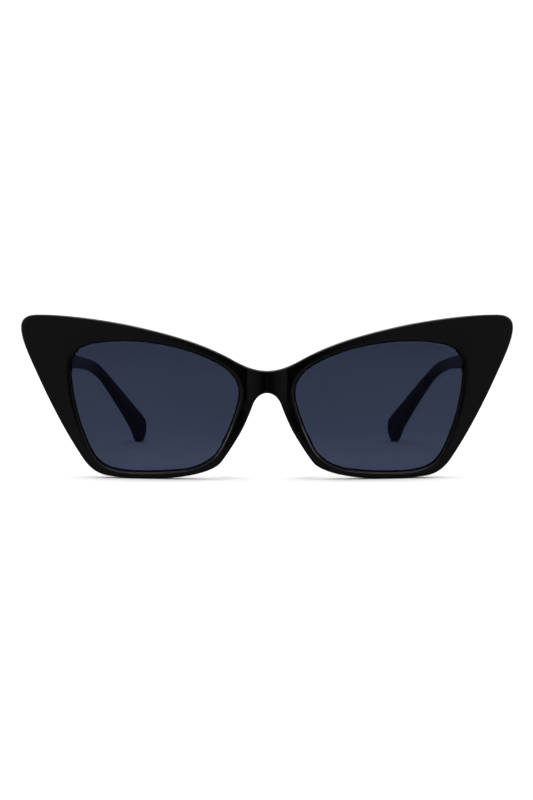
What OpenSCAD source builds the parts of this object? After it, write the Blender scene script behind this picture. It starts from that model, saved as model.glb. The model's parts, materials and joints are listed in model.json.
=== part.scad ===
// Cat eye sunglasses, standing open on their lower rims and temple tips.
// Millimetres, +Z up. The front faces -Y and the temples run back along +Y.
// "Left" and "right" are the wearer's, so left is +X. The origin is the middle of the footprint.

/* [Front] */
// Thickness of the front, front face to back face
front_thickness = 4; // [3.8:0.1:4.4]
// Radius of the front's wrap round the face
front_radius = 230; // [220:5:240]
// How far the bridge stands out in front of the rims
bridge_bulge = 0.8; // [0.4:0.1:1.2]
// Width of the raised panel of the bridge
bridge_panel_w = 11.6; // [10:0.2:12]

/* [Lenses] */
// Thickness of a lens
lens_thickness = 1.8; // [1.6:0.1:2]
// How deep a lens sits in the rim's groove
groove_depth = 0.8; // [0.6:0.1:1]
// Width of the step in the rim's front face round each opening
rim_step_w = 1.2; // [1:0.1:1.3]

/* [Temples] */
// Depth from the bridge to the end of the temples
overall_depth = 138; // [137:0.5:139]
// Thickness of a temple at the hinge
temple_thickness = 3.8; // [3.6:0.1:4]
// Thickness of the ear piece
ear_thickness = 2.6; // [2.4:0.1:3]
// Angle by which each temple leans in towards its tip
toe_in = 2.5; // [2:0.1:3]
// Angle by which the ear piece turns in behind the bend
ear_turn = 20; // [18:1:22]
// Height of the flat metal core inside a temple
core_h = 1.6; // [1.4:0.1:1.8]

/* [Hinges] */
// Distance of each hinge axis from the middle
hinge_x = 62.9; // [62.7:0.1:63.1]
// Height of the middle of the hinge above the table
hinge_z = 36.8; // [36.6:0.1:37]
// Outer diameter of a knuckle
knuckle_d = 2.8; // [2.6:0.1:2.8]
// Height of the three knuckles together
knuckle_stack = 6; // [5.4:0.2:6]
// Diameter of the hinge screw's shank
hinge_screw_d = 1.4; // [1.2:0.1:1.5]

/* [Hidden] */
$fn = 48;

LEFT = 1;
RIGHT = -1;
BIG_FN = 256;     // facets of the large wrap cylinders and lens spheres
STEPS = 6;        // points on each curve of an outline
GAP = 0.05;       // clearance between neighbouring pieces
FIT = 0.03;       // clearance round a recessed plate or a driven screw

wrap_centre_y = bridge_bulge + front_radius;
lens_inset = 1;     // from the rim's front face to the lens
rim_step_depth = 0.5;

// The end piece is the block behind each wing that carries the hinge and meets the temple.
end_face_y = 17.8;
end_block_x = [60.4, 68.4];
end_block_half_h = 5.3;
end_block_root_y = 12.5;
temple_half_h = 5.1;

leaf_thickness = 0.8;
front_leaf_w = 3.4;
front_leaf_half_h = 4.9;
front_leaf_x = hinge_x + (knuckle_d - front_leaf_w) / 2; // flush with the knuckles' outer side
front_screw_dz = 3.95;
temple_leaf_h = 4;
temple_leaf_y = [-0.6, 9.6];
temple_screw_y = [4.2, 7.8];
leaf_screw_head_d = 1.7;
leaf_screw_head_h = 0.45;
leaf_screw_d = 1.1;
leaf_screw_l = 2.6;
hinge_screw_head_d = 2.3;
hinge_screw_head_h = 0.7;

hinge_y = end_face_y + knuckle_d / 2 + GAP;
temple_offset = knuckle_d / 2 + 0.1; // from the hinge axis to the temple's inner face
knuckle_h = (knuckle_stack - 2 * GAP) / 3;
stack_bottom_z = hinge_z - knuckle_stack / 2;

// ---- Curves ----

function bezier(p, n) = [
    for (i = [0:n - 1]) let (t = i / n, u = 1 - t)
        u * u * u * p[0] + 3 * u * u * t * p[1] + 3 * u * t * t * p[2] + t * t * t * p[3]
];

// Points along a chain of cubic curves: anchor, handle, handle, anchor, ...
function chain(p, n = STEPS) = [
    for (k = [0:3:len(p) - 2]) each bezier([p[k], p[k + 1], p[k + 2], p[k + 3]], n)
];

function flipped(p) = [for (i = [len(p) - 1:-1:0]) [-p[i][0], p[i][1]]];

// Moves every point of a clockwise loop outwards by d.
function outset(p, d) = [
    for (i = [0:len(p) - 1])
        let (n = len(p), along = p[(i + 1) % n] - p[(i + n - 1) % n], t = along / norm(along))
            p[i] + d * [-t[1], t[0]]
];

// Left half of the front's outline as [x, z], from the top of the bridge round to its arch.
front_half = [
    [0, 32.5], [4.2, 32.5], [7.9, 34.4],
    [10.9, 36.1], [19.8, 41], [31, 43.9],
    [42, 46.2], [51, 47.9], [61, 49.2],
    [69.5, 49.2], [73.6, 49.2], [75, 47.9],
    [75, 45.2], [75, 41.8], [72.4, 36.3],
    [70.4, 32.2], [66.3, 23.3], [61.3, 13.9],
    [56.5, 7], [54.2, 3.4], [51.8, 1.1],
    [47.2, 0.6], [43.9, 0.2], [40.5, 0],
    [37, 0], [33, 0], [28, 0.2],
    [24, 1], [20.5, 1.6], [16.4, 2.7],
    [14.2, 4.6], [12.9, 5.9], [8.7, 12.3],
    [7.2, 15.3], [6.2, 17.3], [5, 20.2],
    [4.3, 22.1], [3.7, 23.9], [2.3, 25.9],
    [0, 25.9]
];
front_left = concat(chain(front_half), [front_half[len(front_half) - 1]]);
front_right = flipped(front_left);
front_outline = concat(front_left, [for (i = [1:len(front_right) - 2]) front_right[i]]);

// The left eye opening as [x, z], clockwise from its nasal side.
eye_opening = [
    [8.5, 25.8], [8.4, 30.4], [12.4, 33.4],
    [16, 35.2], [23.2, 38.9], [33.5, 41.1],
    [42.5, 41.1], [47.5, 41.1], [53, 40.7],
    [56, 39.1], [57.6, 38.3], [59.1, 36.2],
    [59.1, 33], [59.1, 27.5], [57.7, 20.3],
    [55.6, 14.7], [54.4, 11.5], [52.6, 7],
    [50.2, 5], [48, 3.3], [44.3, 2.5],
    [40.5, 2.4], [35, 2.3], [30, 2.5],
    [25, 3.1], [20.5, 3.7], [16.4, 5.9],
    [14.4, 9.2], [11.6, 14], [8.5, 22.6],
    [8.5, 25.8]
];
eye_loop = chain(eye_opening);

// Side view of a temple as [y, z], clockwise from its upper front corner.
temple_side = [
    [16, hinge_z + temple_half_h], [30, hinge_z + 4.6], [42, 37.4],
    [56, 36], [68, 34.9], [79, 34.3],
    [90, 33.2], [95, 32.7], [99.6, 32.4],
    [104.2, 30.2], [109.5, 27.4], [121, 19.3],
    [134, 10.7], [136.6, 9], [overall_depth, 7.6],
    [overall_depth, 6], [overall_depth, 4.2], [135.8, 0],
    [134, 0], [132.8, 0], [131.6, 3.8],
    [128.4, 6.8], [124, 11], [115.6, 18.8],
    [109, 24], [105.4, 26.8], [101.4, 28],
    [96, 28.8], [84, 30.3], [72, 30.5],
    [58, 31.2], [46, 31.8], [38, hinge_z - temple_half_h],
    [28, hinge_z - temple_half_h]
];

// ---- Placing ----

module placed(side = LEFT) {
    translate([0, -overall_depth / 2, 0])
        if (side == LEFT) children();
        else mirror([1, 0, 0]) children();
}

// Extrudes a drawing in [x, z] along +Y.
module along_y(y0, y1) {
    translate([0, y1, 0]) rotate([90, 0, 0]) linear_extrude(y1 - y0) children();
}

// The hinge's own frame: origin on the axis at its middle height, +Y along the temple.
module at_hinge() {
    translate([hinge_x, hinge_y, hinge_z]) children();
}

module at_temple() {
    at_hinge() rotate(toe_in) children();
}

// ---- Front ----

// The wrapped layer between two depths behind the front's face.
module wrap_shell(near, far) {
    translate([0, wrap_centre_y, 0]) difference() {
        translate([0, 0, -1]) cylinder(r = front_radius - near, h = 60, $fn = BIG_FN);
        translate([0, 0, -2]) cylinder(r = front_radius - far, h = 62, $fn = BIG_FN);
    }
}

module bridge_panel() {
    rise = bridge_bulge + bridge_panel_w * bridge_panel_w / 8 / front_radius;
    radius = (bridge_panel_w * bridge_panel_w / 4 + rise * rise) / (2 * rise);
    intersection() {
        along_y(-1, 2) polygon(front_outline);
        translate([0, radius, 20]) cylinder(r = radius, h = 20, $fn = BIG_FN);
        translate([-bridge_panel_w / 2, -1, 20]) cube([bridge_panel_w, 3, 20]);
    }
}

module end_block() {
    translate([end_block_x[0], end_block_root_y, hinge_z - end_block_half_h])
        cube([end_block_x[1] - end_block_x[0], end_face_y - end_block_root_y, 2 * end_block_half_h]);
}

// A lens, or the groove that holds it when it is given some clearance.
module lens_body(clearance = 0) {
    intersection() {
        along_y(-1, 30) polygon(outset(eye_loop, groove_depth + clearance));
        wrap_shell(lens_inset - clearance, lens_inset + lens_thickness + clearance);
    }
}

module frame_side_cuts() {
    along_y(-1, 30) polygon(eye_loop);
    intersection() {
        along_y(-1, 30) polygon(outset(eye_loop, rim_step_w));
        wrap_shell(-FIT, rim_step_depth);
    }
    lens_body(GAP);
    front_leaf_plate(FIT);
    for (up = [-1, 1]) at_front_screw(up) leaf_screw_solid(FIT);
}

module frame_front() {
    color("black") placed() difference() {
        union() {
            intersection() {
                along_y(-1, 30) polygon(front_outline);
                wrap_shell(0, front_thickness);
            }
            bridge_panel();
            end_block();
            mirror([1, 0, 0]) end_block();
        }
        frame_side_cuts();
        mirror([1, 0, 0]) frame_side_cuts();
    }
}

module lens(side) {
    color("midnightblue") placed(side) lens_body();
}

pad_lean = 29; // from upright to the run of the nasal edge

// One slice of a nose pad: a narrow oval that follows the nasal edge of the rim.
module pad_slice(x, y, z, w, h) {
    translate([x, y, z]) rotate([90, 0, 0]) rotate(pad_lean)
        linear_extrude(0.2) scale([w / h, 1]) circle(d = h, $fn = 32);
}

module nose_pad(side) {
    color("black") placed(side) difference() {
        hull() {
            pad_slice(10.5, 4.4, 12.9, 2.6, 15.6);
            pad_slice(11.2, 7.8, 12.8, 2.6, 15);
            pad_slice(12.2, 10.8, 12.5, 2, 12);
        }
        wrap_shell(-9, front_thickness);
    }
}

// ---- Hinge ----

module front_leaf_plate(clearance = 0) {
    w = front_leaf_w + 2 * clearance;
    h = 2 * (front_leaf_half_h + clearance);
    translate([front_leaf_x - w / 2, end_face_y - leaf_thickness - clearance, hinge_z - h / 2])
        cube([w, leaf_thickness + 2 * clearance, h]);
}

module front_knuckle(bottom_z, bore_d) {
    difference() {
        union() {
            translate([hinge_x, hinge_y, bottom_z]) cylinder(d = knuckle_d, h = knuckle_h);
            translate([hinge_x - knuckle_d / 2, end_face_y - leaf_thickness / 2, bottom_z])
                cube([knuckle_d, hinge_y - end_face_y + leaf_thickness / 2, knuckle_h]);
        }
        translate([hinge_x, hinge_y, bottom_z - 1]) cylinder(d = bore_d, h = knuckle_h + 2);
    }
}

module front_hinge(side) {
    color("silver") placed(side) difference() {
        union() {
            front_leaf_plate();
            front_knuckle(stack_bottom_z, hinge_screw_d + FIT);
            front_knuckle(stack_bottom_z + 2 * (knuckle_h + GAP), hinge_screw_d + 2 * GAP);
        }
        for (up = [-1, 1]) at_front_screw(up) leaf_screw_solid(FIT);
    }
}

module temple_leaf_plate(clearance = 0) {
    translate([temple_offset - clearance, temple_leaf_y[0] - clearance, -temple_leaf_h / 2 - clearance])
        cube([
            leaf_thickness + 2 * clearance,
            temple_leaf_y[1] - temple_leaf_y[0] + 2 * clearance,
            temple_leaf_h + 2 * clearance
        ]);
}

module temple_hinge(side) {
    color("silver") placed(side) at_temple() difference() {
        union() {
            temple_leaf_plate();
            translate([0, 0, -knuckle_h / 2]) cylinder(d = knuckle_d, h = knuckle_h);
            translate([0, temple_leaf_y[0], -knuckle_h / 2])
                cube([temple_offset + leaf_thickness / 2, knuckle_d / 2 - temple_leaf_y[0], knuckle_h]);
        }
        translate([0, 0, -knuckle_h]) cylinder(d = hinge_screw_d + 2 * GAP, h = 2 * knuckle_h);
        for (y = temple_screw_y) at_temple_screw(y) leaf_screw_solid(FIT);
    }
}

module driver_slot(w, depth) {
    translate([-w / 2, -0.15, -depth]) cube([w, 0.3, depth + 1]);
}

module hinge_screw(side) {
    top_z = stack_bottom_z + knuckle_stack;
    color("gainsboro") placed(side) translate([hinge_x, hinge_y, 0]) difference() {
        union() {
            translate([0, 0, top_z]) cylinder(d = hinge_screw_head_d, h = hinge_screw_head_h);
            translate([0, 0, stack_bottom_z + 0.1])
                cylinder(d = hinge_screw_d, h = knuckle_stack - 0.1 + hinge_screw_head_h / 2);
        }
        translate([0, 0, top_z + hinge_screw_head_h]) driver_slot(hinge_screw_head_d + 1, 0.35);
    }
}

// A leaf screw driven along -Z, with the top of its head at z = 0.
module leaf_screw_solid(clearance = 0) {
    translate([0, 0, -leaf_screw_head_h])
        cylinder(d = leaf_screw_head_d + 2 * clearance, h = leaf_screw_head_h + 2 * clearance);
    translate([0, 0, -leaf_screw_l - clearance])
        cylinder(d = leaf_screw_d + 2 * clearance, h = leaf_screw_l);
}

module leaf_screw() {
    color("gainsboro") difference() {
        leaf_screw_solid();
        for (a = [0, 90]) rotate(a) driver_slot(1.1, 0.25);
    }
}

module at_front_screw(up) {
    translate([front_leaf_x, end_face_y, hinge_z + up * front_screw_dz]) rotate([-90, 0, 0]) children();
}

module at_temple_screw(y) {
    translate([temple_offset, y, 0]) rotate([0, -90, 0]) children();
}

// ---- Temples ----

// Middle line of the ear piece, carried on to the hinge, seen from above as [x, y]
// at a distance s behind the hinge axis.
outer_offset = ear_thickness / 2;
inner_offset = [[12, temple_thickness - outer_offset], [60, outer_offset]]; // the taper, by s
bend_corner_s = 81;
bend_radius = 45;
bend_start = bend_corner_s - bend_radius * tan(ear_turn / 2);
bend_end = bend_start + bend_radius * ear_turn * PI / 180;
temple_root = [hinge_x + (temple_offset + inner_offset[0][1]) / cos(toe_in), hinge_y];

function direction(a) = [-sin(a), cos(a)];
function across(a) = [cos(a), sin(a)];
function heading(s) = toe_in + max(0, min((s - bend_start) / bend_radius * 180 / PI, ear_turn));
function bend_point(a) =
    temple_root + bend_start * direction(toe_in) + bend_radius * (across(a) - across(toe_in));
function middle(s) =
    s < bend_start ? temple_root + s * direction(toe_in)
    : s < bend_end ? bend_point(heading(s))
    : bend_point(toe_in + ear_turn) + (s - bend_end) * direction(toe_in + ear_turn);
function beside(s, d) = middle(s) + d * across(heading(s));

bend_stations = [for (i = [0:8]) bend_start + (bend_end - bend_start) * i / 8];
core_stations = concat([-4], bend_stations, [150]);
temple_stations = concat([-4, 12, 60], bend_stations, [150]);

// The temple seen from above. Its outer side is straight as far as the bend.
module temple_plan() {
    translate([0, 0, -1]) linear_extrude(60) polygon(concat(
        [for (s = core_stations) beside(s, outer_offset)],
        [for (i = [len(temple_stations) - 1:-1:0])
            beside(temple_stations[i], -lookup(temple_stations[i], inner_offset))]
    ));
}

module core_plan(thickness) {
    translate([0, 0, -1]) linear_extrude(60) polygon(concat(
        [for (s = core_stations) beside(s, thickness / 2)],
        [for (i = [len(core_stations) - 1:-1:0]) beside(core_stations[i], -thickness / 2)]
    ));
}

// Extrudes a side view in [y, z] across the whole left half.
module side_profile(points) {
    rotate([90, 0, 90]) linear_extrude(90) polygon(points);
}

// Middle line of the core in the side view as [y, z], from its front end down into the ear piece.
core_line = [
    [18.1, 34.8], [42, 33.8], [66, 32.6],
    [90, 31.4], [95, 31.1], [99.6, 30.6],
    [104.2, 28.6], [109.5, 25.6], [118, 18.8],
    [126, 12.4]
];
core_thickness = 1;

function unit(v) = v / norm(v);
function line_normal(p, i) =
    let (t = unit(p[min(i + 1, len(p) - 1)] - p[max(i - 1, 0)])) [-t[1], t[0]];
function band(p, w) = concat(
    [for (i = [0:len(p) - 1]) p[i] + w / 2 * line_normal(p, i)],
    [for (i = [len(p) - 1:-1:0]) p[i] - w / 2 * line_normal(p, i)]
);

// The flat core, or with some clearance the slot it slides into from the temple's front end.
module core_strip(clearance = 0) {
    middle_line = concat(chain(core_line), [core_line[len(core_line) - 1]]);
    n = len(middle_line);
    before = middle_line[0] - (clearance > 0 ? 3 : 0) * unit(middle_line[1] - middle_line[0]);
    after = middle_line[n - 1] + clearance * unit(middle_line[n - 1] - middle_line[n - 2]);
    line = concat([before], [for (i = [1:n - 2]) middle_line[i]], [after]);
    intersection() {
        side_profile(band(line, core_h + 2 * clearance));
        core_plan(core_thickness + 2 * clearance);
    }
}

module temple(side) {
    color("black") placed(side) difference() {
        intersection() {
            side_profile(concat(
                chain(temple_side),
                [temple_side[len(temple_side) - 1], [16, hinge_z - temple_half_h]]
            ));
            temple_plan();
        }
        cube([90, end_face_y + GAP, 60]);
        at_temple() {
            temple_leaf_plate(FIT);
            for (y = temple_screw_y) at_temple_screw(y) leaf_screw_solid(FIT);
        }
        core_strip(GAP);
    }
}

module temple_core(side) {
    color("silver") placed(side) core_strip();
}

module temple_leaf_screw(side, which) {
    placed(side) at_temple() at_temple_screw(temple_screw_y[which]) leaf_screw();
}

module front_leaf_screw(side, up) {
    placed(side) at_front_screw(up) leaf_screw();
}

// ---- Nodes ----

frame_front();
lens(LEFT);  // lens_left
lens(RIGHT);  // lens_right
nose_pad(LEFT);  // nose_pad_left
nose_pad(RIGHT);  // nose_pad_right
front_hinge(LEFT);  // front_hinge_left
front_hinge(RIGHT);  // front_hinge_right
temple_hinge(LEFT);  // temple_hinge_left
temple_hinge(RIGHT);  // temple_hinge_right
hinge_screw(LEFT);  // hinge_screw_left
hinge_screw(RIGHT);  // hinge_screw_right
front_leaf_screw(LEFT, 1);  // front_leaf_screw_upper_left
front_leaf_screw(LEFT, -1);  // front_leaf_screw_lower_left
front_leaf_screw(RIGHT, 1);  // front_leaf_screw_upper_right
front_leaf_screw(RIGHT, -1);  // front_leaf_screw_lower_right
temple_leaf_screw(LEFT, 0);  // temple_leaf_screw_front_left
temple_leaf_screw(LEFT, 1);  // temple_leaf_screw_rear_left
temple_leaf_screw(RIGHT, 0);  // temple_leaf_screw_front_right
temple_leaf_screw(RIGHT, 1);  // temple_leaf_screw_rear_right
temple(LEFT);  // temple_left
temple(RIGHT);  // temple_right
temple_core(LEFT);  // temple_core_left
temple_core(RIGHT);  // temple_core_right
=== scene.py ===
import json
import math

import bmesh
import bpy
import numpy as np
from mathutils import Euler, Matrix, Vector
from mathutils.geometry import delaunay_2d_cdt
from mathutils.kdtree import KDTree


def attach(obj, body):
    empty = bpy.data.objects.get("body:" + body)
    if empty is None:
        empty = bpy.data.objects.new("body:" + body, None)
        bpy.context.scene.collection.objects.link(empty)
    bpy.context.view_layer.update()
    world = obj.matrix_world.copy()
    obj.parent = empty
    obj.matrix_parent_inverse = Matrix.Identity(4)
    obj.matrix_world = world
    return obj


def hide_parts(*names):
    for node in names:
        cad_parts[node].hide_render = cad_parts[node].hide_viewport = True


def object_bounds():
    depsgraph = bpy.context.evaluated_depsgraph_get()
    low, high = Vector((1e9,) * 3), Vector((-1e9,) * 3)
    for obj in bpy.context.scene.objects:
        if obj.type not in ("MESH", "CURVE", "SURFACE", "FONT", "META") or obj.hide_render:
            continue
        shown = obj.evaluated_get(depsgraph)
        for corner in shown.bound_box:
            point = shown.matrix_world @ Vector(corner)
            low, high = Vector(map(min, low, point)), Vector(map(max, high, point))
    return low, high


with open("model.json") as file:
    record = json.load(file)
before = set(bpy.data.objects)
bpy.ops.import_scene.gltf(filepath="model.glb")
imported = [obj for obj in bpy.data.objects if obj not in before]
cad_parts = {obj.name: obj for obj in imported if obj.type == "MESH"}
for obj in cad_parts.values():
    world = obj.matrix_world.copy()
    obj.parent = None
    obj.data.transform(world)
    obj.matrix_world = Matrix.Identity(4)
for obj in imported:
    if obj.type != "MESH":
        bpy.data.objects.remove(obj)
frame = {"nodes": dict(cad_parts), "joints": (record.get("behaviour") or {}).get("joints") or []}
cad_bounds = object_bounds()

# Cat eye sunglasses. Lengths are millimetres until a mesh is made, in the design's front
# coordinates: x to the wearer's left, y back from the bridge's foremost point, z up.
# Pieces are built for the left half and mirrored for the right one.

MM = 0.001
# Points closer than this, in metres, are one point.
SAME_POINT = 1e-7
FRONT_Y = cad_bounds[0][1] / MM
HINGE = Vector(frame["joints"][0]["pos_m"]) / MM - Vector((0, FRONT_Y, 0))

# ---- Sizes of the design ----

WRAP_RADIUS = 230.0
BRIDGE_BULGE = 0.8
PANEL_HALF_W = 5.8
PANEL_RISE = BRIDGE_BULGE + PANEL_HALF_W ** 2 / 2 / WRAP_RADIUS
PANEL_RADIUS = (PANEL_HALF_W ** 2 + PANEL_RISE ** 2) / 2 / PANEL_RISE
PANEL_FADE = (1.2, 2.6)
FRONT_THICKNESS = 4.0
GROOVE_DEPTH = 0.8
LENS_DEPTHS = (1.0, 2.8)
# Clearance between neighbouring pieces, and round a recessed plate or a driven screw.
GAP = 0.05
FIT = 0.03
# Edges sharper than this are shaded sharp.
SHARP_ANGLE = math.radians(35)

END_FACE_Y = 17.8
END_BLOCK_X = (60.4, 68.4)
END_BLOCK_HALF_H = 5.3
LEAF_THICKNESS = 0.8
FRONT_LEAF_W = 3.4
FRONT_LEAF_HALF_H = 4.9
FRONT_SCREW_DZ = 3.95
KNUCKLE_D = 2.8
TEMPLE_LEAF_X = 1.5
TEMPLE_LEAF_Y = (-0.6, 9.6)
TEMPLE_LEAF_HALF_H = 2.0
TEMPLE_SCREW_Y = (4.2, 7.8)
LEAF_SCREW_D = 1.1
LEAF_SCREW_L = 2.6

TOE_IN = math.radians(2.5)
EAR_TURN = math.radians(20)
OUTER_OFFSET = 1.3
ROOT_OFFSET = 2.5
BEND_CORNER = 81.0
BEND_RADIUS = 45.0
TEMPLE_END_Y = 138.0
CORE_H = 1.6
CORE_THICKNESS = 1.0

# Left half of the front's outline as (x, z): anchor, handle, handle, anchor, ...
FRONT_HALF = [
    (0, 32.5), (4.2, 32.5), (7.9, 34.4),
    (10.9, 36.1), (19.8, 41), (31, 43.9),
    (42, 46.2), (51, 47.9), (61, 49.2),
    (69.5, 49.2), (73.6, 49.2), (75, 47.9),
    (75, 45.2), (75, 41.8), (72.4, 36.3),
    (70.4, 32.2), (66.3, 23.3), (61.3, 13.9),
    (56.5, 7), (54.2, 3.4), (51.8, 1.1),
    (47.2, 0.6), (43.9, 0.2), (40.5, 0),
    (37, 0), (33, 0), (28, 0.2),
    (24, 1), (20.5, 1.6), (16.4, 2.7),
    (14.2, 4.6), (12.9, 5.9), (8.7, 12.3),
    (7.2, 15.3), (6.2, 17.3), (5, 20.2),
    (4.3, 22.1), (3.7, 23.9), (2.3, 25.9),
    (0, 25.9),
]
# The left eye opening as (x, z), clockwise from its nasal side.
EYE_OPENING = [
    (8.5, 25.8), (8.4, 30.4), (12.4, 33.4),
    (16, 35.2), (23.2, 38.9), (33.5, 41.1),
    (42.5, 41.1), (47.5, 41.1), (53, 40.7),
    (56, 39.1), (57.6, 38.3), (59.1, 36.2),
    (59.1, 33), (59.1, 27.5), (57.7, 20.3),
    (55.6, 14.7), (54.4, 11.5), (52.6, 7),
    (50.2, 5), (48, 3.3), (44.3, 2.5),
    (40.5, 2.4), (35, 2.3), (30, 2.5),
    (25, 3.1), (20.5, 3.7), (16.4, 5.9),
    (14.4, 9.2), (11.6, 14), (8.5, 22.6),
    (8.5, 25.8),
]
# Upper and lower edges of a temple in the side view as (y, z), from the hinge to the tip.
TEMPLE_TOP = [
    (16, 41.9), (30, 41.4), (42, 37.4),
    (56, 36), (68, 34.9), (79, 34.3),
    (90, 33.2), (95, 32.7), (99.6, 32.4),
    (104.2, 30.2), (109.5, 27.4), (121, 19.3),
    (134, 10.7), (136.6, 9), (138, 7.6),
    (138, 6),
]
TEMPLE_BOTTOM = [
    (16, 31.7), (20, 31.7), (24, 31.7),
    (28, 31.7), (38, 31.7), (46, 31.8),
    (58, 31.2), (72, 30.5), (84, 30.3),
    (96, 28.8), (101.4, 28), (105.4, 26.8),
    (109, 24), (115.6, 18.8), (124, 11),
    (128.4, 6.8), (131.6, 3.8), (132.8, 0),
    (134, 0), (135.8, 0), (138, 4.2),
    (138, 6),
]
# Middle line of the flat core as (y, z).
CORE_LINE = [
    (18.1, 34.8), (42, 33.8), (66, 32.6),
    (90, 31.4), (95, 31.1), (99.6, 30.6),
    (104.2, 28.6), (109.5, 25.6), (118, 18.8),
    (126, 12.4),
]

# ---- Curves ----


def chain(anchors, steps=24):
    """Points along a chain of cubic curves, with the last anchor."""
    points = []
    for k in range(0, len(anchors) - 1, 3):
        a, b, c, d = (Vector(p) for p in anchors[k:k + 4])
        for i in range(steps):
            t = i / steps
            u = 1 - t
            points.append(u * u * u * a + 3 * u * u * t * b + 3 * u * t * t * c + t * t * t * d)
    return points + [Vector(anchors[-1])]


def even(points, spacing):
    """The same path with its points at equal distances, first and last included."""
    path = np.array([tuple(p) for p in points])
    along = np.concatenate([[0], np.cumsum(np.linalg.norm(np.diff(path, axis=0), axis=1))])
    count = max(2, round(along[-1] / spacing) + 1)
    wanted = np.linspace(0, along[-1], count)
    return [Vector((np.interp(w, along, path[:, 0]), np.interp(w, along, path[:, 1]))) for w in wanted]


def shifted(loop, distances):
    """A clockwise loop with its points moved outwards, by one distance or one each."""
    n = len(loop)
    if isinstance(distances, (int, float)):
        distances = [distances] * n
    moved = []
    for i, point in enumerate(loop):
        along = (loop[(i + 1) % n] - loop[i - 1]).normalized()
        moved.append(point + distances[i] * Vector((-along.y, along.x)))
    return moved


def quarter_round(radius, steps):
    """(inset, depth) pairs round an edge, from the face to the wall."""
    angles = [math.pi / 2 * (1 - i / steps) for i in range(steps + 1)]
    return [(radius * (1 - math.cos(a)), radius * (1 - math.sin(a))) for a in angles]


def wrap_y(x, depth):
    """y of a layer of the front, by its depth behind the front face."""
    return BRIDGE_BULGE + WRAP_RADIUS - math.sqrt((WRAP_RADIUS - depth) ** 2 - x * x)


def front_y(x, depth):
    """wrap_y with the bridge's raised panel, which fades out down the edge."""
    y = wrap_y(x, depth)
    if abs(x) < PANEL_HALF_W:
        panel_y = PANEL_RADIUS - math.sqrt(PANEL_RADIUS ** 2 - x * x)
        fade = min(1.0, max(0.0, (PANEL_FADE[1] - depth) / (PANEL_FADE[1] - PANEL_FADE[0])))
        y -= fade * (wrap_y(x, 0) - panel_y)
    return y


# ---- Meshes ----


def inside(points, loops):
    """Which points lie inside an odd number of loops."""
    xs, zs = np.array([tuple(p) for p in points]).T
    odd = np.zeros(len(xs), bool)
    for loop in loops:
        for a, b in zip(loop, loop[1:] + loop[:1]):
            if a[1] != b[1]:
                crossing = a[0] + (zs - a[1]) * (b[0] - a[0]) / (b[1] - a[1])
                odd ^= ((a[1] > zs) != (b[1] > zs)) & (xs < crossing)
    return odd


class Shell:
    """Points and faces of one closed surface."""

    def __init__(self):
        self.points = []
        self.faces = []

    def ring(self, points):
        """Adds points and gives their numbers."""
        first = len(self.points)
        self.points += [tuple(p) for p in points]
        return list(range(first, len(self.points)))

    def strip(self, a, b):
        """Four-sided faces between two rings."""
        n = len(a)
        self.faces += [(a[i], a[(i + 1) % n], b[(i + 1) % n], b[i]) for i in range(n)]

    def loft(self, rings):
        """A closed skin through rings of equal length."""
        made = self.tube(rings)
        self.faces += [tuple(made[0]), tuple(made[-1])]

    def tube(self, rings):
        """An open skin through rings of equal length."""
        made = [self.ring(r) for r in rings]
        for a, b in zip(made, made[1:]):
            self.strip(a, b)
        return made

    def fill(self, rings, place, candidates, clear):
        """Triangles between rings, through those candidate points that stay clear of them."""
        ids = [i for ring in rings for i in ring]
        flat = [(self.points[i][0], self.points[i][2]) for i in ids]
        loops = [[(self.points[i][0], self.points[i][2]) for i in ring] for ring in rings]
        edges = []
        for ring in rings:
            first = len(edges)
            edges += [(first + k, first + (k + 1) % len(ring)) for k in range(len(ring))]
        tree = KDTree(len(flat))
        for i, p in enumerate(flat):
            tree.insert((p[0], p[1], 0), i)
        tree.balance()
        kept = [p for p, good in zip(candidates, inside(candidates, loops)) if good]
        kept = [p for p in kept if tree.find((p[0], p[1], 0))[2] > clear]
        ids += self.ring([place(*p) for p in kept])
        corners = [Vector(p) for p in flat + kept]
        spots, _, triangles, sources = delaunay_2d_cdt(corners, edges, [], 0, 1e-6, True)[:4]
        centres = np.array([tuple(p) for p in spots])[np.array(triangles)].mean(axis=1)
        for t, good in zip(triangles, inside(centres, loops)):
            if good:
                self.faces.append(tuple(ids[sources[i][0]] for i in t))

    def mesh(self, name):
        """The surface as a Blender mesh. It has to be closed."""
        data = bpy.data.meshes.new(name)
        data.from_pydata([(x * MM, (y + FRONT_Y) * MM, z * MM) for x, y, z in self.points], [], self.faces)
        work = bmesh.new()
        work.from_mesh(data)
        bmesh.ops.remove_doubles(work, verts=work.verts, dist=SAME_POINT)
        bmesh.ops.recalc_face_normals(work, faces=work.faces)
        if not all(edge.is_manifold for edge in work.edges):
            raise ValueError(f"{name} is not closed")
        work.to_mesh(data)
        work.free()
        return data


# Height of a triangle with equal sides, as a share of its side.
ROW_SHARE = 0.866


def grid(x_range, z_range, spacing):
    """A triangular grid of (x, z) points."""
    rows = int((z_range[1] - z_range[0]) / (spacing * ROW_SHARE)) + 1
    columns = int((x_range[1] - x_range[0]) / spacing) + 1
    return [
        (x_range[0] + (i + (k % 2) / 2) * spacing, z_range[0] + k * spacing * ROW_SHARE)
        for k in range(rows)
        for i in range(columns)
    ]


def new_object(name, data):
    made = bpy.data.objects.new(name, data)
    bpy.context.scene.collection.objects.link(made)
    return made


def combine(name, base, others, operation):
    """Base joined with or cut by other meshes, as one new mesh."""
    body = new_object(name, base)
    tools = [new_object("tool", m) for m in others]
    for tool in tools:
        step = body.modifiers.new("combine", "BOOLEAN")
        step.operation = operation
        step.solver = "MANIFOLD"
        step.object = tool
    depsgraph = bpy.context.evaluated_depsgraph_get()
    result = bpy.data.meshes.new_from_object(body.evaluated_get(depsgraph))
    for used in tools + [body]:
        bpy.data.objects.remove(used)
    return result


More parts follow.
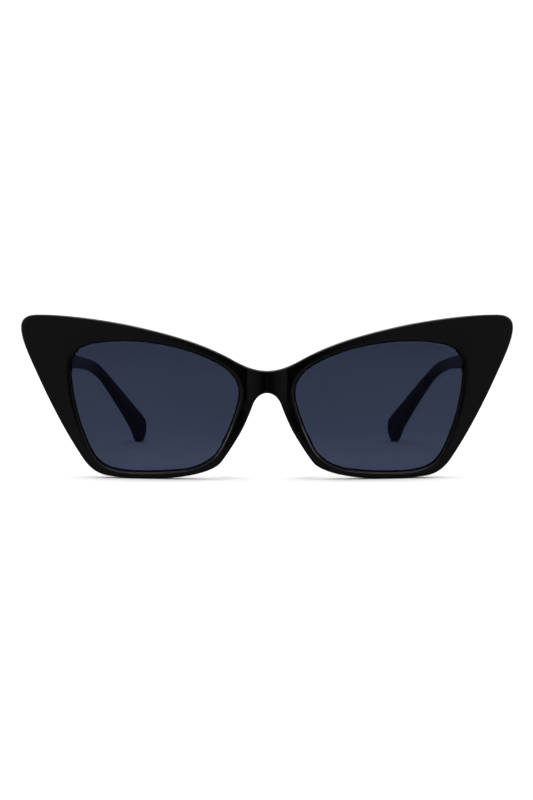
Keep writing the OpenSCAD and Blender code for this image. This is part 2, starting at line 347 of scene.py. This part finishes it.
def mirrored(data):
    """A copy of a mesh on the other side of the middle plane."""
    flipped = data.copy()
    flipped.transform(Matrix.Scale(-1, 4, (1, 0, 0)))
    flipped.flip_normals()
    return flipped


def finish_piece(name, data, surface, body, replaced):
    """Puts a mesh in the scene as a shaded piece that stands for a CAD node."""
    data.name = name
    for polygon in data.polygons:
        polygon.use_smooth = True
    data.set_sharp_from_angle(angle=SHARP_ANGLE)
    data.materials.clear()
    data.materials.append(surface)
    piece = new_object(name, data)
    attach(piece, body)
    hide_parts(replaced)
    return piece


def box_mesh(low, high, place=None):
    """A plain box, used only to cut with."""
    shell = Shell()
    corners = [(low[0], low[2]), (high[0], low[2]), (high[0], high[2]), (low[0], high[2])]
    rings = [[Vector((x, y, z)) for x, z in corners] for y in (low[1], high[1])]
    if place:
        rings = [[place(p) for p in ring] for ring in rings]
    shell.loft(rings)
    return shell.mesh("cutter")


def rod_mesh(start, end, diameter, sides=32):
    """A plain rod, used only to cut with."""
    start, end = Vector(start), Vector(end)
    turn = (end - start).to_track_quat("Z", "Y")
    circle = [Vector((math.cos(a), math.sin(a), 0)) * diameter / 2
              for a in (math.tau * i / sides for i in range(sides))]
    shell = Shell()
    shell.loft([[centre + turn @ p for p in circle] for centre in (start, end)])
    return shell.mesh("cutter")


CORNER_STEPS = 7
WIDEST_CORNER = 0.98
SUPPORTS = (0.08, 0.5, 0.92)


def rounded_ring(x0, x1, z0, z1, radius, z_stretch=1.0):
    """Points round a rectangle with round corners, with supports along the sides."""
    rx = min(radius, (x1 - x0) / 2 * WIDEST_CORNER)
    rz = min(radius * z_stretch, (z1 - z0) / 2 * WIDEST_CORNER)
    corners = [(x1 - rx, z1 - rz, 0), (x0 + rx, z1 - rz, 1), (x0 + rx, z0 + rz, 2), (x1 - rx, z0 + rz, 3)]
    points = []
    for cx, cz, quarter in corners:
        for i in range(CORNER_STEPS + 1):
            a = math.pi / 2 * (quarter + i / CORNER_STEPS)
            points.append((cx + rx * math.cos(a), cz + rz * math.sin(a)))
    whole = []
    for i, p in enumerate(points):
        whole.append(p)
        if i % (CORNER_STEPS + 1) == CORNER_STEPS:
            q = points[(i + 1) % len(points)]
            for t in SUPPORTS:
                whole.append((p[0] + t * (q[0] - p[0]), p[1] + t * (q[1] - p[1])))
    return whole


# ---- Front ----

EDGE_RADIUS = 0.6
POINT_SPACING = 0.42
# The points that fill the front's two faces: their range in x and z, their spacing, and how
# far they stay from the outlines. The panel zone has points of its own on the front face.
FRONT_RANGE = ((-75, 75), (0, 49))
PANEL_ZONE = 7.2
FACE_SPACING = 0.8
FACE_CLEAR = 0.32
BACK_SPACING = 1.1
BACK_CLEAR = 0.4


def front_outline():
    """The whole outline of the front, clockwise."""
    half = even(chain(FRONT_HALF), POINT_SPACING)
    other = [Vector((-p.x, p.y)) for p in reversed(half[1:-1])]
    return half + other


def eye_loop():
    return even(chain(EYE_OPENING), POINT_SPACING)[:-1]


def flipped_loop(loop):
    return [Vector((-p.x, p.y)) for p in reversed(loop)]


# The rim round an eye opening: a shallow dish that ends in a small round, the front lip,
# the lens groove, and the rear lip. Where the rim is wide the dish is wide too.
DISH_SHARE = 0.26
DISH_W = (0.25, 2.3)
DISH_DEPTH = 0.3
DISH_TILT = math.radians(15)
DISH_STEPS = 6
DISH_BLEND = 14
LIP_ROUND = 0.28
LIP_STEPS = 7
FRONT_LIP = 0.42
BACK_ROUND = 0.4


def dish_widths(loop, outline):
    """The dish's width at each point of an eye opening, from how wide the rim is there."""
    tree = KDTree(len(outline))
    for i, p in enumerate(outline):
        tree.insert((p.x, p.y, 0), i)
    tree.balance()
    room = [tree.find((p.x, p.y, 0))[2] - FRONT_LIP - LIP_ROUND - EDGE_RADIUS for p in loop]
    raw = [min(DISH_W[1], max(DISH_W[0], DISH_SHARE * r)) for r in room]
    n = len(raw)
    near = range(-DISH_BLEND, DISH_BLEND + 1)
    return [sum(raw[(i + k) % n] for k in near) / len(near) for i in range(n)]


def rim_profile():
    """(share of the dish's width, further distance out, depth), from the front face to the back one."""
    lip_w = LIP_ROUND * (1 - math.sin(DISH_TILT))
    shares = [i / DISH_STEPS for i in range(DISH_STEPS)]
    dish = [(1 - share, FRONT_LIP + lip_w, DISH_DEPTH * share ** 2) for share in shares]
    lip = []
    for i in range(LIP_STEPS + 1):
        turn = DISH_TILT + (math.pi / 2 - DISH_TILT) * i / LIP_STEPS
        out = FRONT_LIP + LIP_ROUND * (1 - math.sin(turn))
        lip.append((0, out, DISH_DEPTH + LIP_ROUND * (math.cos(DISH_TILT) - math.cos(turn))))
    floor = GROOVE_DEPTH + GAP
    near, far = LENS_DEPTHS[0] - GAP, LENS_DEPTHS[1] + GAP
    groove = [(0, FRONT_LIP, near), (0, floor, near), (0, floor, far), (0, 0, far)]
    back = [
        (0, inset, FRONT_THICKNESS - depth) for inset, depth in reversed(quarter_round(BACK_ROUND, 5))]
    return dish + lip + groove + back


def panel_points():
    """Points on and beside the bridge's panel, closest together at its two creases."""
    columns = [0.5 * i for i in range(11)] + [5.35, 5.65, 5.95, 6.25, 6.7]
    heights = [24 + 0.5 * i for i in range(28)]
    return [(side * x, z) for x in columns for z in heights for side in (-1, 1) if side > 0 or x > 0]


def front_solid():
    """The wrapped front with its two grooved eye openings."""
    shell = Shell()
    outline = front_outline()
    front_edge = quarter_round(EDGE_RADIUS, 7)
    back_edge = [(inset, FRONT_THICKNESS - depth) for inset, depth in reversed(front_edge)]
    outer = shell.tube([
        [(p.x, front_y(p.x, depth), p.y) for p in shifted(outline, -inset)]
        for inset, depth in front_edge + [(0, FRONT_THICKNESS / 2)] + back_edge
    ])
    eyes = []
    for loop in (eye_loop(), flipped_loop(eye_loop())):
        widths = dish_widths(loop, outline)
        eyes.append(shell.tube([
            [(p.x, front_y(p.x, depth), p.y) for p in shifted(loop, [out + share * w for w in widths])]
            for share, out, depth in rim_profile()
        ]))
    spots = [p for p in grid(*FRONT_RANGE, FACE_SPACING) if abs(p[0]) > PANEL_ZONE] + panel_points()
    shell.fill([outer[0], eyes[0][0], eyes[1][0]], lambda x, z: (x, front_y(x, 0), z), spots, FACE_CLEAR)
    shell.fill(
        [outer[-1], eyes[0][-1], eyes[1][-1]],
        lambda x, z: (x, wrap_y(x, FRONT_THICKNESS), z), grid(*FRONT_RANGE, BACK_SPACING), BACK_CLEAR,
    )
    return shell.mesh("front")


END_FLARE = 1.5
END_CORNER = 1.3
END_LIP = 0.3
END_OUTER_LIMIT = 72
# Heights above the back of the front of the rings that lie inside it.
END_ROOTS = [-1.6, -0.3]
# Where the flare would pass the end face, its rings are packed just before the lip.
PACK_ROOM = 0.3
PACK_STEP = 0.02


def end_ring(out):
    """The end piece's section, grown by a distance."""
    return rounded_ring(
        END_BLOCK_X[0] - out, min(END_BLOCK_X[1] + out, END_OUTER_LIMIT), HINGE.z - END_BLOCK_HALF_H - out,
        HINGE.z + END_BLOCK_HALF_H + out, END_CORNER + out)


def end_piece():
    """The block behind a wing that carries the hinge, flared into the back of the rim."""
    rings = []
    for height in END_ROOTS + [END_FLARE * (1 - math.cos(math.pi / 2 * i / 8)) for i in range(9)]:
        rise = max(0.0, min(height, END_FLARE))
        out = END_FLARE - math.sqrt(END_FLARE ** 2 - (END_FLARE - rise) ** 2)
        limit = END_FACE_Y - END_LIP - PACK_ROOM + PACK_STEP * height
        rings.append([(x, min(wrap_y(x, FRONT_THICKNESS) + height, limit), z) for x, z in end_ring(out)])
    for inset, depth in reversed(quarter_round(END_LIP, 5)):
        rings.append([(x, END_FACE_Y - depth, z) for x, z in end_ring(-inset)])
    shell = Shell()
    shell.loft(rings)
    return shell.mesh("end_piece")


def front_cutters():
    """The recess for a front leaf and the bores for its two screws."""
    leaf_x = HINGE.x + (KNUCKLE_D - FRONT_LEAF_W) / 2
    half_w = FRONT_LEAF_W / 2 + FIT
    half_h = FRONT_LEAF_HALF_H + FIT
    cutters = [box_mesh(
        (leaf_x - half_w, END_FACE_Y - LEAF_THICKNESS - FIT, HINGE.z - half_h),
        (leaf_x + half_w, END_FACE_Y + 1, HINGE.z + half_h))]
    for up in (-1, 1):
        z = HINGE.z + up * FRONT_SCREW_DZ
        cutters.append(rod_mesh(
            (leaf_x, END_FACE_Y - LEAF_SCREW_L - FIT, z), (leaf_x, END_FACE_Y, z), LEAF_SCREW_D + 2 * FIT))
    return cutters


def build_front(surface):
    """The front joined with its two end pieces and cut for its hinges."""
    block = end_piece()
    whole = combine("front", front_solid(), [block, mirrored(block)], "UNION")
    cutters = front_cutters()
    whole = combine("front", whole, cutters + [mirrored(c) for c in cutters], "DIFFERENCE")
    finish_piece("moulded_front", whole, surface, "front", "frame_front")


# ---- Lenses ----

LENS_EDGE_RADIUS = 0.2
LENS_RANGE = ((7, 60), (1, 42))
LENS_SPACING = 1.2
LENS_CLEAR = 0.5


def lens_solid():
    """A wrapped sheet with softened edges."""
    edge = quarter_round(LENS_EDGE_RADIUS, 4)
    thickness = LENS_DEPTHS[1] - LENS_DEPTHS[0]
    profile = edge + [(inset, thickness - depth) for inset, depth in reversed(edge)]
    loop = shifted(eye_loop(), GROOVE_DEPTH)
    shell = Shell()
    rings = shell.tube([
        [(p.x, wrap_y(p.x, LENS_DEPTHS[0] + depth), p.y) for p in shifted(loop, -inset)]
        for inset, depth in profile
    ])
    spots = grid(*LENS_RANGE, LENS_SPACING)
    for ring, depth in ((rings[0], LENS_DEPTHS[0]), (rings[-1], LENS_DEPTHS[1])):
        shell.fill([ring], lambda x, z: (x, wrap_y(x, depth), z), spots, LENS_CLEAR)
    return shell.mesh("lens")


# ---- Nose pads ----

PAD_LEAN = math.radians(29)
PAD_START_Y = 4.3
PAD_DEPTH = 6.4
PAD_STEPS = 18
PAD_SIDES = 48
# The back edge rounds off over the last part of the pad's depth.
PAD_EDGE_START = 0.8
PAD_EDGE_SHARE = 0.2
# Keeps the first rings apart where they lie against the back of the front.
PAD_RING_GAP = 0.001


def pad_ring(i):
    """The pad's oval section at one step from the rim back to its edge."""
    t = i / PAD_STEPS
    y = PAD_START_Y + PAD_DEPTH * t
    x = 10.5 + 0.5 * t + 1.15 * t * t
    z = 12.9 - 0.35 * t * t
    past = max(0.0, (t - PAD_EDGE_START) / PAD_EDGE_SHARE)
    swell = math.sqrt(max(0.0, 1 - past ** 2))
    height = (15.6 - 0.6 * t - 2.4 * t ** 3) * (0.8 + 0.2 * swell)
    width = (2.6 - 0.5 * t * t) * (0.25 + 0.75 * swell)
    ring = []
    for k in range(PAD_SIDES):
        a = math.tau * k / PAD_SIDES
        u = width / 2 * math.cos(a)
        v = height / 2 * math.sin(a)
        px = x + u * math.cos(PAD_LEAN) - v * math.sin(PAD_LEAN)
        pz = z + u * math.sin(PAD_LEAN) + v * math.cos(PAD_LEAN)
        ring.append((px, max(y, wrap_y(px, FRONT_THICKNESS) + PAD_RING_GAP * i), pz))
    return ring


def pad_solid():
    """A flared pad on the back of the nasal rim, with a rounded back edge."""
    shell = Shell()
    shell.loft([pad_ring(i) for i in range(PAD_STEPS + 1)])
    return shell.mesh("pad")


# ---- Temples ----

TAPER_START = 12
TAPER_LENGTH = 48
TIP_ROUND = 1.1
SECTION_RADII = (0.75, 0.55)
SLIM_Y = (80, 100)
BODY_STEPS = 110
TIP_STEPS = 12
THINNEST_TIP = 0.0004
# (distance from the temple's front end, inset) round that end's edge.
FRONT_END_ROUND = [(0, 0.3), (0.03, 0.18), (0.1, 0.08), (0.3, 0.0)]

BEND_START = BEND_CORNER - BEND_RADIUS * math.tan(EAR_TURN / 2)
BEND_END = BEND_START + BEND_RADIUS * EAR_TURN
TEMPLE_ROOT = Vector((HINGE.x + (TEMPLE_LEAF_X + ROOT_OFFSET) / math.cos(TOE_IN), HINGE.y))


def direction(angle):
    """The way along a temple that is turned inwards by an angle."""
    return Vector((-math.sin(angle), math.cos(angle)))


def across(angle):
    """The way outwards from a temple that is turned inwards by an angle."""
    return Vector((math.cos(angle), math.sin(angle)))


def heading(s):
    """How far the temple is turned inwards, at a distance behind the hinge."""
    return TOE_IN + max(0.0, min((s - BEND_START) / BEND_RADIUS, EAR_TURN))


def middle(s):
    """The ear piece's middle line from above, carried on to the hinge, as (x, y)."""
    if s < BEND_START:
        return TEMPLE_ROOT + s * direction(TOE_IN)
    turned = heading(s)
    point = TEMPLE_ROOT + BEND_START * direction(TOE_IN) + BEND_RADIUS * (across(turned) - across(TOE_IN))
    return point + max(0.0, s - BEND_END) * direction(turned)


def side_line(offset):
    """x by y of a line beside the middle line. The offset may depend on s."""
    stations = [-6 + 0.5 * i for i in range(320)]
    line = [middle(s) + offset(s) * across(heading(s)) for s in stations]
    ys = [p.y for p in line]
    xs = [p.x for p in line]
    return lambda y: float(np.interp(y, ys, xs))


def taper(s):
    """The inner side's offset: the temple slims from the hinge to its straight part."""
    share = min(1.0, max(0.0, (s - TAPER_START) / TAPER_LENGTH))
    return -(ROOT_OFFSET + (OUTER_OFFSET - ROOT_OFFSET) * share)


def profile_line(anchors):
    """z by y of an edge in the side view."""
    points = chain(anchors, 40)
    ys = [p.x for p in points]
    zs = [p.y for p in points]
    return lambda y: float(np.interp(y, ys, zs))


def temple_stations():
    """(y, inset) of each section, from the hinge end to the tip."""
    start = END_FACE_Y + GAP
    body_end = TEMPLE_END_Y - TIP_ROUND
    body = [start + (body_end - start) * i / BODY_STEPS for i in range(1, BODY_STEPS + 1)]
    turns = [math.pi / 2 * i / TIP_STEPS for i in range(1, TIP_STEPS)]
    end = [TEMPLE_END_Y - TIP_ROUND * (1 - math.sin(turn)) for turn in turns]
    last = TEMPLE_END_Y - 0.004
    return [(start + y, inset) for y, inset in FRONT_END_ROUND] + [(y, 0.0) for y in body + end + [last]]


def temple_solid():
    """A slim temple that turns inwards and drops to a rounded ear piece."""
    outer_x = side_line(lambda s: OUTER_OFFSET)
    inner_x = side_line(taper)
    top_z = profile_line(TEMPLE_TOP)
    bottom_z = profile_line(TEMPLE_BOTTOM)
    rings = []
    for y, inset in temple_stations():
        x0, x1 = inner_x(y) + inset, outer_x(y) - inset
        z0, z1 = bottom_z(y) + inset, top_z(y) - inset
        past = max(0.0, (y - (TEMPLE_END_Y - TIP_ROUND)) / TIP_ROUND)
        half = (x1 - x0) / 2 * math.sqrt(max(THINNEST_TIP, 1 - past * past))
        slope = abs(top_z(y + 0.5) - top_z(y - 0.5))
        stretch = min(2.0, math.sqrt(1 + slope * slope))
        centre = (x0 + x1) / 2
        radius = float(np.interp(y, SLIM_Y, SECTION_RADII))
        ring = rounded_ring(centre - half, centre + half, z0, z1, radius - inset, stretch)
        rings.append([(x, y, z) for x, z in ring])
    shell = Shell()
    shell.loft(rings)
    return shell.mesh("temple")


def at_temple(point):
    """From the temple's own hinge frame to the front coordinates."""
    turned = Matrix.Rotation(TOE_IN, 3, "Z") @ Vector(point)
    return turned + HINGE


def core_slot():
    """The slot for the core, open at the temple's front end."""
    line = chain(CORE_LINE, 12)
    first = line[0] - 3 * (line[1] - line[0]).normalized()
    last = line[-1] + GAP * (line[-1] - line[-2]).normalized()
    line = [first] + line[1:-1] + [last]
    left_x = side_line(lambda s: -CORE_THICKNESS / 2 - GAP)
    right_x = side_line(lambda s: CORE_THICKNESS / 2 + GAP)
    rings = []
    for i, p in enumerate(line):
        along = (line[min(i + 1, len(line) - 1)] - line[max(i - 1, 0)]).normalized()
        up = Vector((-along.y, along.x)) * (CORE_H / 2 + GAP)
        ring = []
        for edge, x_at in ((p + up, left_x), (p + up, right_x), (p - up, right_x), (p - up, left_x)):
            ring.append((x_at(edge.x), edge.x, edge.y))
        rings.append(ring)
    shell = Shell()
    shell.loft(rings)
    return shell.mesh("cutter")


def temple_cutters():
    """The slot for the core, the recess for the leaf and the bores for its two screws."""
    high = TEMPLE_LEAF_HALF_H + FIT
    cutters = [core_slot(), box_mesh(
        (TEMPLE_LEAF_X - 2, TEMPLE_LEAF_Y[0] - 3, -high),
        (TEMPLE_LEAF_X + LEAF_THICKNESS + FIT, TEMPLE_LEAF_Y[1] + FIT, high), at_temple)]
    for y in TEMPLE_SCREW_Y:
        cutters.append(rod_mesh(
            at_temple((TEMPLE_LEAF_X, y, 0)), at_temple((TEMPLE_LEAF_X + LEAF_SCREW_L + FIT, y, 0)),
            LEAF_SCREW_D + 2 * FIT))
    return cutters


def build_pair(name, data, surface, bodies, node):
    """A left piece and its mirror image on the right."""
    for side, mesh in (("left", data), ("right", mirrored(data))):
        finish_piece(f"{name}_{side}", mesh, surface, bodies[side], f"{node}_{side}")


# ---- Materials ----


def add(tree, kind, inputs=None, **settings):
    """A node with its settings, and its inputs set to values or linked to outputs."""
    made = tree.nodes.new(kind)
    for key, value in settings.items():
        setattr(made, key, value)
    for key, value in (inputs or {}).items():
        if isinstance(value, bpy.types.NodeSocket):
            tree.links.new(value, made.inputs[key])
        else:
            made.inputs[key].default_value = value
    return made


def new_material(name):
    """A material with an empty node tree, and that tree."""
    made = bpy.data.materials.new(name)
    made.use_nodes = True
    made.node_tree.nodes.clear()
    return made, made.node_tree


def ramp(tree, factor, stops):
    """A colour ramp with stops of (position, grey or colour)."""
    made = add(tree, "ShaderNodeValToRGB", {"Fac": factor})
    elements = made.color_ramp.elements
    while len(elements) < len(stops):
        elements.new(0.5)
    for element, (position, colour) in zip(elements, stops):
        element.position = position
        element.color = (*colour, 1) if isinstance(colour, tuple) else (colour, colour, colour, 1)
    return made.outputs["Color"]


def noise(tree, scale, detail=2.0, stretch=(1, 1, 1)):
    """Noise fixed to the object, in cycles per metre, stretched by axis."""
    place = add(tree, "ShaderNodeTexCoord")
    mapped = add(tree, "ShaderNodeMapping", {"Vector": place.outputs["Object"], "Scale": stretch})
    made = add(tree, "ShaderNodeTexNoise", {"Vector": mapped.outputs[0], "Scale": scale, "Detail": detail})
    return made.outputs["Fac"]


def map_range(tree, value, from_min, from_max, to_min, to_max):
    made = add(tree, "ShaderNodeMapRange", {
        "Value": value, "From Min": from_min, "From Max": from_max, "To Min": to_min, "To Max": to_max})
    return made.outputs["Result"]


def math_node(tree, operation, a, b):
    return add(tree, "ShaderNodeMath", {0: a, 1: b}, operation=operation).outputs[0]


def output(tree, surface, kind="ShaderNodeOutputMaterial"):
    add(tree, kind, {"Surface": surface})


def gloss_plastic(name, dark, light):
    """Polished black moulding: faint colour drift, hairlines and a trace of orange peel."""
    made, tree = new_material(name)
    colour = ramp(tree, noise(tree, 90, 3), [(0.3, dark), (0.7, light)])
    hairlines = noise(tree, 420, 4, (1, 7, 11))
    haze = noise(tree, 160, 3)
    rough = math_node(tree, "ADD", map_range(tree, hairlines, 0.55, 0.8, 0.05, 0.1),
                      map_range(tree, haze, 0.4, 0.7, 0.0, 0.035))
    peel = add(tree, "ShaderNodeBump", {"Height": noise(tree, 650, 2), "Strength": 0.06, "Distance": 0.0001})
    shader = add(tree, "ShaderNodeBsdfPrincipled", {
        "Base Color": colour, "Roughness": rough, "IOR": 1.5, "Normal": peel.outputs[0]})
    output(tree, shader.outputs[0])
    return made


def tinted_lens():
    """Solid blue-grey tint, a little lighter and purpler low down, with the faintest film of haze."""
    made, tree = new_material("lens_tint")
    place = add(tree, "ShaderNodeTexCoord")
    height = add(tree, "ShaderNodeSeparateXYZ", {0: place.outputs["Object"]}).outputs["Z"]
    level = map_range(tree, height, 0.0, 0.042, 0.0, 1.0)
    wander = map_range(tree, noise(tree, 60, 2), 0.3, 0.7, -0.03, 0.03)
    tint = ramp(tree, math_node(tree, "ADD", level, wander), [
        (0.07, (0.0346, 0.042, 0.075)), (0.21, (0.0295, 0.0366, 0.0615)), (0.34, (0.0232, 0.03, 0.0535)),
        (0.5, (0.0216, 0.028, 0.049))])
    film = map_range(tree, noise(tree, 300, 3), 0.5, 0.8, 0.0, 0.02)
    shader = add(tree, "ShaderNodeBsdfPrincipled", {
        "Base Color": tint, "Roughness": film, "IOR": 1.5, "Transmission Weight": 1.0,
        "Specular Tint": (0.35, 0.4, 0.6, 1)})
    output(tree, shader.outputs[0])
    return made


def brushed_metal(name, dark, light, rough, stretch):
    """Steel with a fine grain in its colour, gloss and surface."""
    made, tree = new_material(name)
    grain = noise(tree, 2500, 3, stretch)
    colour = ramp(tree, grain, [(0.3, dark), (0.7, light)])
    gloss = map_range(tree, grain, 0.3, 0.7, rough - 0.06, rough + 0.08)
    bump = add(tree, "ShaderNodeBump", {"Height": grain, "Strength": 0.25, "Distance": 0.00002})
    shader = add(tree, "ShaderNodeBsdfPrincipled", {
        "Base Color": colour, "Metallic": 1.0, "Roughness": gloss, "Normal": bump.outputs[0]})
    output(tree, shader.outputs[0])
    return made


# ---- Studio ----

STUDIO_WHITE = 1.12


def mirror_ray(tree):
    """1 for a ray that a glossy surface reflects, else 0."""
    path = add(tree, "ShaderNodeLightPath")
    return math_node(tree, "MULTIPLY", path.outputs["Is Glossy Ray"], path.outputs["Is Reflection Ray"])


def build_world():
    """An even white studio. Glossy surfaces reflect dim walls, brighter behind and overhead."""
    world = bpy.data.worlds.new("studio")
    bpy.context.scene.world = world
    world.use_nodes = True
    tree = world.node_tree
    tree.nodes.clear()
    place = add(tree, "ShaderNodeTexCoord")
    parts = add(tree, "ShaderNodeSeparateXYZ", {0: place.outputs["Generated"]})
    x, y, z = parts.outputs
    x_squared = math_node(tree, "MULTIPLY", x, x)
    y_squared = math_node(tree, "MULTIPLY", y, y)
    level_part = math_node(tree, "SQRT", math_node(tree, "ADD", x_squared, y_squared), 0)
    x_size = math_node(tree, "ABSOLUTE", x, 0)
    sideways = math_node(tree, "DIVIDE", x_size, math_node(tree, "MAXIMUM", level_part, 0.001))
    front_wall = ramp(tree, sideways, [
        (0.0, 0.04), (0.04, 0.02), (0.07, 0.0), (0.12, 0.005), (0.29, 0.08), (0.45, 0.13), (0.75, 0.14),
        (1.0, 0.25)])
    behind = map_range(tree, y, -0.15, 0.25, 0.0, 1.0)
    walls = add(tree, "ShaderNodeMix", {0: behind, 6: front_wall, 7: (0.42, 0.42, 0.43, 1)}, data_type="RGBA")
    ceiling = ramp(tree, z, [(0.1, 0.0), (0.45, 0.05), (0.7, 0.2), (0.95, 0.35)])
    room = add(
        tree, "ShaderNodeMix", {0: 1.0, 6: walls.outputs[2], 7: ceiling}, data_type="RGBA", blend_type="ADD")
    white = (STUDIO_WHITE, STUDIO_WHITE, STUDIO_WHITE, 1)
    seen = add(tree, "ShaderNodeMix", {0: mirror_ray(tree), 6: white, 7: room.outputs[2]}, data_type="RGBA")
    background = add(tree, "ShaderNodeBackground", {"Color": seen.outputs[2]})
    output(tree, background.outputs[0], "ShaderNodeOutputWorld")


def paper_material():
    """Pale paper. Glossy surfaces see it dim, and only close to the object."""
    made, tree = new_material("paper")
    white = ramp(tree, noise(tree, 220, 3), [(0.2, 0.93), (0.8, 0.95)])
    place = add(tree, "ShaderNodeTexCoord")
    reach = add(tree, "ShaderNodeVectorMath", {0: place.outputs["Object"]}, operation="LENGTH")
    fading = map_range(tree, reach.outputs["Value"], 0.12, 0.25, 0.0, 1.0)
    mirror = mirror_ray(tree)
    dim = add(tree, "ShaderNodeMix", {0: mirror, 6: white, 7: (0.09, 0.09, 0.1, 1)}, data_type="RGBA")
    paper = add(tree, "ShaderNodeBsdfDiffuse", {"Color": dim.outputs[2]})
    clear = add(tree, "ShaderNodeBsdfTransparent")
    mixed = add(tree, "ShaderNodeMixShader", {
        0: math_node(tree, "MULTIPLY", mirror, fading), 1: paper.outputs[0], 2: clear.outputs[0]})
    output(tree, mixed.outputs[0])
    return made


def build_floor():
    """A wide round sheet of pale paper under the object."""
    angles = [math.tau * i / 96 for i in range(96)]
    shell = Shell()
    made = shell.tube([[(r * math.cos(a), r * math.sin(a), 0) for a in angles] for r in (0.3, 0.8, 2.0, 6.0)])
    shell.faces.append(tuple(made[0]))
    data = bpy.data.meshes.new("floor")
    data.from_pydata(shell.points, [], shell.faces)
    data.materials.append(paper_material())
    new_object("floor", data)


def softbox(name, size, place, radiance):
    """A soft rectangular lamp turned to the middle of the object."""
    lamp = bpy.data.lights.new(name, "AREA")
    lamp.shape = "RECTANGLE"
    lamp.size, lamp.size_y = size
    lamp.energy = radiance * math.pi * size[0] * size[1]
    holder = bpy.data.objects.new(name, lamp)
    holder.location = place
    holder.rotation_euler = (Vector((0, 0, 0.02)) - Vector(place)).to_track_quat("-Z", "Y").to_euler()
    bpy.context.scene.collection.objects.link(holder)


def build_lights():
    """One large soft lamp overhead and a tall one at each corner."""
    softbox("softbox_top", (0.9, 0.35), (0.0, 0.05, 1.2), 5.0)
    for side, word in ((1, "left"), (-1, "right")):
        softbox(f"softbox_{word}", (0.2, 0.7), (side * 1.3, -0.35, 0.55), 3.0)
        softbox(f"softbox_back_{word}", (0.25, 0.7), (side * 0.9, 1.1, 0.6), 3.0)


def build_camera():
    """Level with the front and square on to it, looking slightly down."""
    camera = bpy.data.cameras.new("camera")
    camera.sensor_width = 36
    camera.lens = 68.41
    camera.clip_start = 0.01
    holder = bpy.data.objects.new("camera", camera)
    holder.location = (0, -0.519, 0.05035)
    holder.rotation_euler = Euler((math.radians(90 - 3.36), 0, math.radians(0.02)))
    bpy.context.scene.collection.objects.link(holder)
    bpy.context.scene.camera = holder


# ---- The scene ----

build_camera()
build_world()
build_floor()
build_lights()
bpy.context.scene.view_settings.view_transform = "Standard"

frame_surface = gloss_plastic("frame_gloss", (0.0006, 0.0006, 0.0007), (0.0012, 0.0012, 0.0014))
temple_surface = gloss_plastic("temple_gloss", (0.0006, 0.0006, 0.0007), (0.0012, 0.0012, 0.0014))
pad_surface = gloss_plastic("pad_gloss", (0.0008, 0.0008, 0.0009), (0.0016, 0.0016, 0.0018))

on_front = {"left": "front", "right": "front"}
on_temples = {"left": "left_temple", "right": "right_temple"}

build_front(frame_surface)
build_pair("tinted_lens", lens_solid(), tinted_lens(), on_front, "lens")
build_pair("flared_pad", pad_solid(), pad_surface, on_front, "nose_pad")
temple_mesh = combine("temple", temple_solid(), temple_cutters(), "DIFFERENCE")
build_pair("temple_moulding", temple_mesh, temple_surface, on_temples, "temple")

metals = {
    "hinge": brushed_metal("hinge_steel", (0.5, 0.49, 0.48), (0.66, 0.65, 0.64), 0.28, (1, 1, 12)),
    "screw": brushed_metal("screw_steel", (0.56, 0.55, 0.54), (0.72, 0.71, 0.7), 0.2, (3, 3, 3)),
    "core": brushed_metal("core_steel", (0.5, 0.5, 0.5), (0.64, 0.64, 0.64), 0.32, (8, 1, 8)),
}
for name, node in frame["nodes"].items():
    for word, metal in metals.items():
        if word in name and (word != "hinge" or "screw" not in name):
            for place in node.material_slots:
                place.material = metal

bpy.context.view_layer.update()
